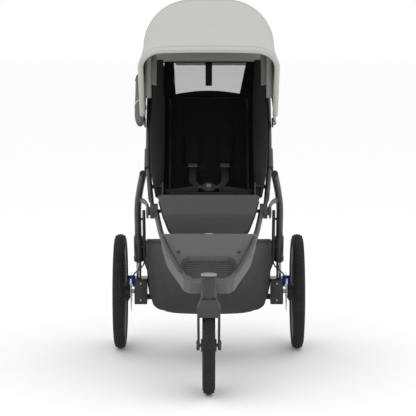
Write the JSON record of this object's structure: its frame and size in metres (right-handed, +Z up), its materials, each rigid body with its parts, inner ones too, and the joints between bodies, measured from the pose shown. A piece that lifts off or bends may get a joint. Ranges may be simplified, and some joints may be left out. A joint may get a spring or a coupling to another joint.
{
  "type": "jogging stroller",
  "caption": "Three-wheeled jogging stroller with large rear wheels, swivel front fork, folding frame, hood, seat and basket.",
  "frame": {"origin": "on the floor, midway between the front of the front tyre and the back of the handlebar, on the middle plane", "axes": "+Z up, the front wheel faces -Y, +X is the left side of a person pushing it seen from the front"},
  "size_m": [0.667, 1.148, 1.2158],
  "materials": {
    "frame_metal": "satin dark grey powder coat",
    "fork_metal": "satin grey powder coat",
    "black_plastic": "fine moulded grain",
    "platform_plastic": "grey moulded plastic with a fine grain",
    "mat_rubber": "ribbed grip mat",
    "cap_plastic": "light grey moulded plastic",
    "canopy_fabric": "light grey woven canopy cloth",
    "seat_fabric": "black padded mesh and woven cloth",
    "wall_fabric": "charcoal woven cloth",
    "flap_fabric": "dark grey woven cloth",
    "basket_fabric": "charcoal woven cloth",
    "pocket_fabric": "grey mesh and cloth",
    "mesh_fabric": "light grey open mesh",
    "webbing": "black woven webbing",
    "tyre_rubber": "black ribbed tread",
    "wheel_plastic": "black moulded nylon",
    "steel": "brushed steel",
    "shock_chrome": "polished rod",
    "caliper_blue": "blue anodised",
    "grip_leather": "black stitched grip cover",
    "button_grey": "grey moulded plastic",
    "bow_alloy": "satin alloy tube"
  },
  "bodies": {
    "front_frame": {"front_tubes": "frame_metal", "head_tube": "fork_metal", "footrest_platform": "platform_plastic", "footwell_mat": "mat_rubber", "platform_screws": "steel", "leg_flap": "flap_fabric", "storage_basket": "basket_fabric", "main_pivot_tube": "steel"},
    "swivel_lock": {"swivel_lock_knob": "cap_plastic"},
    "fork": {"fork": "fork_metal", "front_axle": "steel"},
    "front_wheel": {"front_tyre": "tyre_rubber", "front_wheel_casting": "wheel_plastic"},
    "upper_frame": {"upper_tubes": "frame_metal", "latch_collars": "black_plastic", "seat_side_brackets": "frame_metal", "seat_cross_bars": "steel", "seat_base": "black_plastic", "seat_pad": "seat_fabric", "side_wings": "wall_fabric", "mesh_window": "mesh_fabric", "shoulder_straps": "webbing", "waist_harness": "webbing", "buckle": "black_plastic", "handlebar_pins": "steel", "canopy_clips": "black_plastic", "side_pocket": "pocket_fabric", "canopy_bow_rear": "bow_alloy", "canopy_back": "canopy_fabric"},
    "buckle_button": {"buckle_button": "button_grey"},
    "backrest": {"backrest_pad": "seat_fabric", "backrest_board": "black_plastic", "shoulder_pads": "seat_fabric"},
    "handlebar": {"handlebar": "frame_metal", "handlebar_grip": "grip_leather", "brake_lever_bracket": "black_plastic"},
    "height_buttons": {"height_buttons": "button_grey"},
    "brake_lever": {"brake_lever": "black_plastic"},
    "canopy_mid": {"canopy_bow_mid": "bow_alloy", "canopy_panel_rear": "canopy_fabric"},
    "canopy_front": {"canopy_bow_front": "bow_alloy", "canopy_panel_front": "canopy_fabric"},
    "rear_legs": {"rear_legs": "frame_metal", "shock_housings": "black_plastic", "shock_springs": "steel", "basket_posts": "black_plastic"},
    "axle": {"axle_blocks": "black_plastic", "shock_rods": "shock_chrome", "stub_axles": "steel", "wheel_release_buttons": "button_grey", "axle_beam": "frame_metal", "brake_calipers": "caliper_blue", "brake_cables": "black_plastic"},
    "parking_brake": {"parking_brake_pedal": "black_plastic"},
    "rear_wheel_left": {"rear_tyre_left": "tyre_rubber", "rear_wheel_casting_left": "wheel_plastic", "brake_disc_left": "steel"},
    "rear_wheel_right": {"rear_tyre_right": "tyre_rubber", "rear_wheel_casting_right": "wheel_plastic", "brake_disc_right": "steel"}
  },
  "joints": [
    {"name": "frame_fold", "type": "hinge", "parent": "front_frame", "child": "upper_frame", "pos_m": [0, -0.002, 0.523], "axis": [1, 0, 0], "range_deg": [0, 102], "deforming": ["leg_flap"]},
    {"name": "rear_leg_fold", "type": "hinge", "parent": "front_frame", "child": "rear_legs", "pos_m": [0, -0.002, 0.523], "axis": [1, 0, 0], "range_deg": [-34, 0]},
    {"name": "suspension", "type": "slide", "parent": "rear_legs", "child": "axle", "axis": [0, -0.3686, 0.9296], "range_m": [0, 0.02], "stiffness_N_per_m": 9000, "springref_m": -0.01, "deforming": ["shock_springs", "brake_cables"]},
    {"name": "rear_wheel_left_spin", "type": "hinge", "parent": "axle", "child": "rear_wheel_left", "pos_m": [0.3095, 0.358, 0.2], "axis": [1, 0, 0], "continuous": true},
    {"name": "rear_wheel_right_spin", "type": "hinge", "parent": "axle", "child": "rear_wheel_right", "pos_m": [-0.3095, 0.358, 0.2], "axis": [1, 0, 0], "continuous": true},
    {"name": "parking_brake_press", "type": "hinge", "parent": "axle", "child": "parking_brake", "pos_m": [0, 0.374, 0.178], "axis": [1, 0, 0], "range_deg": [-25, 0]},
    {"name": "steering", "type": "hinge", "parent": "front_frame", "child": "fork", "pos_m": [0, -0.51, 0.35], "axis": [0, 0, 1], "continuous": true},
    {"name": "swivel_lock_turn", "type": "hinge", "parent": "front_frame", "child": "swivel_lock", "pos_m": [0, -0.51, 0.386], "axis": [0, 0, 1], "range_deg": [0, 90]},
    {"name": "front_wheel_spin", "type": "hinge", "parent": "fork", "child": "front_wheel", "pos_m": [0, -0.422, 0.152], "axis": [1, 0, 0], "continuous": true},
    {"name": "backrest_recline", "type": "hinge", "parent": "upper_frame", "child": "backrest", "pos_m": [0, 0.218, 0.52], "axis": [1, 0, 0], "range_deg": [-32, 0], "deforming": ["shoulder_straps"]},
    {"name": "buckle_button_press", "type": "slide", "parent": "upper_frame", "child": "buckle_button", "axis": [0, 0.5524, -0.8336], "range_m": [0, 0.003], "stiffness_N_per_m": 800, "springref_m": -0.001},
    {"name": "handlebar_height", "type": "hinge", "parent": "upper_frame", "child": "handlebar", "pos_m": [0, 0.44, 0.968], "axis": [1, 0, 0], "range_deg": [-60, 20]},
    {"name": "height_buttons_press", "type": "slide", "parent": "handlebar", "child": "height_buttons", "axis": [1, 0, 0], "range_m": [-0.001, 0.001], "stiffness_N_per_m": 1000},
    {"name": "brake_lever_squeeze", "type": "hinge", "parent": "handlebar", "child": "brake_lever", "pos_m": [-0.135, 0.521, 1], "axis": [0, 0, 1], "range_deg": [0, 8], "stiffness_Nm_per_rad": 1.5, "springref_deg": -5.73},
    {"name": "canopy_close", "type": "hinge", "parent": "canopy_mid", "child": "canopy_front", "pos_m": [0, 0.228, 0.8], "axis": [1, 0, 0], "range_deg": [-30, 0], "deforming": ["canopy_panel_front"]},
    {"name": "canopy_mid_swing", "type": "hinge", "parent": "upper_frame", "child": "canopy_mid", "pos_m": [0, 0.228, 0.8], "axis": [1, 0, 0], "range_deg": [-14, 0], "deforming": ["canopy_panel_rear"]}
  ],
  "couplings": [
    {"joint": "rear_leg_fold", "follows": "frame_fold", "ratio": -0.33333},
    {"joint": "canopy_mid_swing", "follows": "canopy_close", "ratio": 0.46657}
  ]
}
